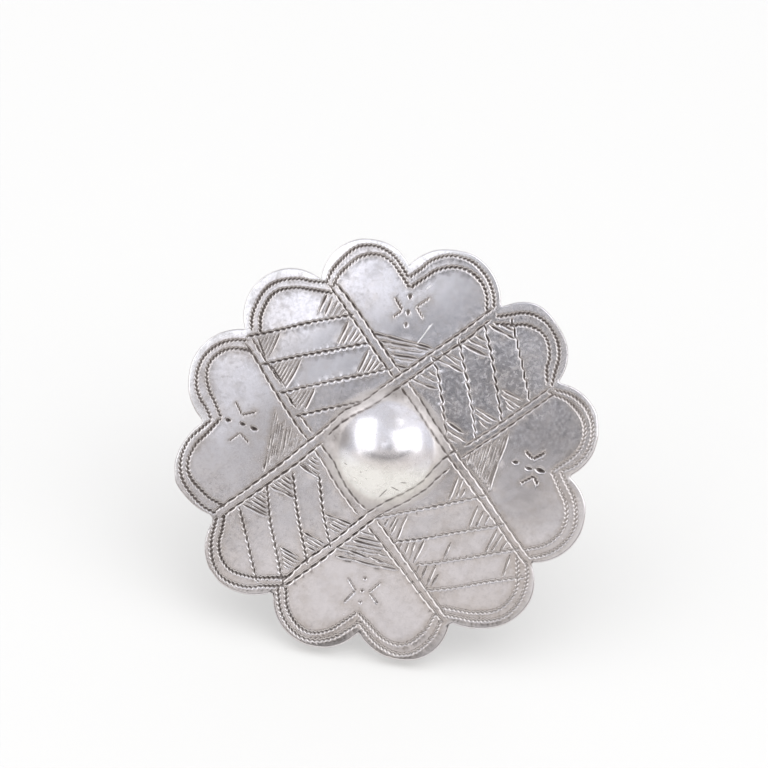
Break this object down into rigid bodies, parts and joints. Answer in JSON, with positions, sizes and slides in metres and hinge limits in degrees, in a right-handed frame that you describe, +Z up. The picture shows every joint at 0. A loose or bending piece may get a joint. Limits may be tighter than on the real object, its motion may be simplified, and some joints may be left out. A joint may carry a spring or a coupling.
{
  "type": "silver ring",
  "caption": "Silver finger ring with a large lobed rosette, raised central dome and engraved line ornament, soldered to a plain flat band.",
  "frame": {"origin": "on the surface the ring rests on, under the centre of its box", "axes": "+Z up, +X along the rosette's width and across the finger; the face of the rosette looks towards -Y and up at 37.3 degrees, and the finger hole's axis rises towards +Y at 52.7 degrees"},
  "size_m": [0.035, 0.0288, 0.0285],
  "materials": {
    "worn_silver": "worn satin silver with darkened engraving"
  },
  "bodies": {
    "root": {"ring": "worn_silver"}
  },
  "joints": []
}
